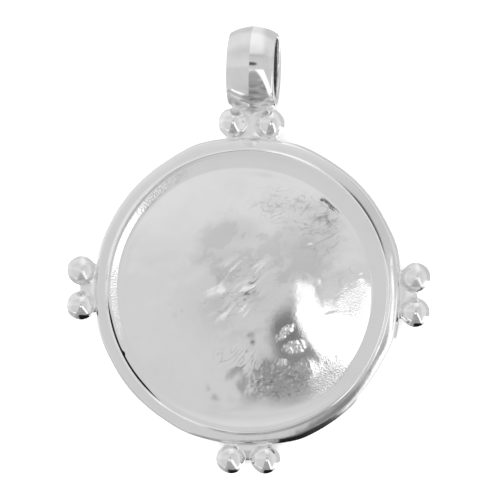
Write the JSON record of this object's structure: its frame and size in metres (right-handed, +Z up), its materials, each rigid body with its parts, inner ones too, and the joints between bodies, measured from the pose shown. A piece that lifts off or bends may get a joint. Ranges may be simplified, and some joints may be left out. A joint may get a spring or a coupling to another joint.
{
  "type": "round pendant",
  "caption": "Round pendant with a polished disc in a banded bezel, paired beads round the rim and a fixed ridged bail for a chain.",
  "frame": {"origin": "on the ground under the middle of the lying pendant, at the bottom centre of its box", "axes": "+Z up from the ground and out of the pendant's face, +Y along the pendant towards its bail, +X to the pendant's right, along the chain hole"},
  "size_m": [0.0364, 0.0446, 0.0086],
  "materials": {
    "setting": "polished cast silver, lightly worn",
    "disc": "polished silver with a rippled, worn face"
  },
  "bodies": {
    "root": {"setting": "setting", "disc": "disc"}
  },
  "joints": []
}
